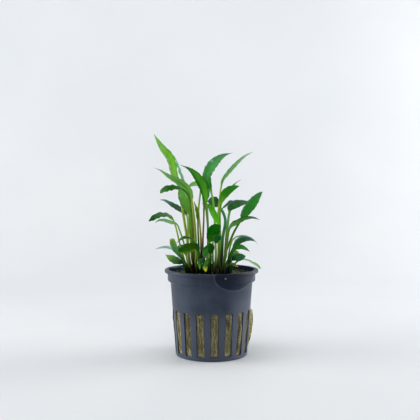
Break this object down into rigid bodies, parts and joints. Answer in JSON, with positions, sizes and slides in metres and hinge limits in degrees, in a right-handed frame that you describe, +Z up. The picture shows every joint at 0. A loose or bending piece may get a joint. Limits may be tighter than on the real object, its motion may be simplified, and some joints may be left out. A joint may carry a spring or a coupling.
{
  "type": "potted cryptocoryne willisii",
  "caption": "Aquarium plant with long-stalked narrow green leaves, rooted in a rockwool plug in a slotted dark net pot that stands on its flat base.",
  "frame": {"origin": "centre of the pot's flat base", "axes": "+Z up along the pot's axis, -Y towards the side that faces the viewer, +X to that viewer's right"},
  "size_m": [0.0656, 0.0607, 0.13],
  "materials": {
    "pot_plastic": "satin moulded, dark slate",
    "rockwool": "wet mineral wool, golden to olive, rooted through",
    "crown": "wet brown rootstock",
    "leaf_fresh": "wet bright yellow-green leaf",
    "leaf_green": "wet mid green leaf",
    "leaf_deep": "wet dark green leaf",
    "leaf_teal": "wet blue-green leaf",
    "leaf_pale": "thin pale green leaf"
  },
  "bodies": {
    "root": {"pot": "pot_plastic", "rockwool": "rockwool", "crown_left_back": "crown", "leaf_left_back_1": "leaf_fresh", "leaf_left_back_2": "leaf_teal", "leaf_left_back_3": "leaf_green", "leaf_left_back_4": "leaf_teal", "leaf_left_back_5": "leaf_pale", "leaf_left_back_6": "leaf_pale", "leaf_left_back_7": "leaf_deep", "crown_left_front": "crown", "leaf_left_front_1": "leaf_green", "leaf_left_front_2": "leaf_deep", "leaf_left_front_3": "leaf_deep", "leaf_left_front_4": "leaf_deep", "leaf_left_front_5": "leaf_green", "leaf_left_front_6": "leaf_green", "leaf_left_front_7": "leaf_green", "crown_middle_left": "crown", "leaf_middle_left_1": "leaf_green", "leaf_middle_left_2": "leaf_fresh", "leaf_middle_left_3": "leaf_deep", "leaf_middle_left_4": "leaf_teal", "crown_front": "crown", "leaf_front_1": "leaf_deep", "leaf_front_2": "leaf_deep", "leaf_front_3": "leaf_deep", "leaf_front_4": "leaf_fresh", "leaf_front_5": "leaf_fresh", "leaf_front_6": "leaf_green", "leaf_front_7": "leaf_fresh", "crown_middle_right": "crown", "leaf_middle_right_1": "leaf_green", "leaf_middle_right_2": "leaf_fresh", "leaf_middle_right_3": "leaf_green", "leaf_middle_right_4": "leaf_pale", "leaf_middle_right_5": "leaf_teal", "crown_right_back": "crown", "leaf_right_back_1": "leaf_teal", "leaf_right_back_2": "leaf_teal", "leaf_right_back_3": "leaf_pale", "leaf_right_back_4": "leaf_pale", "leaf_right_back_5": "leaf_green", "leaf_right_back_6": "leaf_green", "crown_right_front": "crown", "leaf_right_front_1": "leaf_green", "leaf_right_front_2": "leaf_green", "leaf_right_front_3": "leaf_deep", "leaf_right_front_4": "leaf_teal", "leaf_right_front_5": "leaf_deep", "leaf_right_front_6": "leaf_green", "leaf_right_front_7": "leaf_fresh", "crown_back": "crown", "leaf_back_1": "leaf_green", "leaf_back_2": "leaf_green", "leaf_back_3": "leaf_deep", "leaf_back_4": "leaf_teal"}
  },
  "joints": []
}
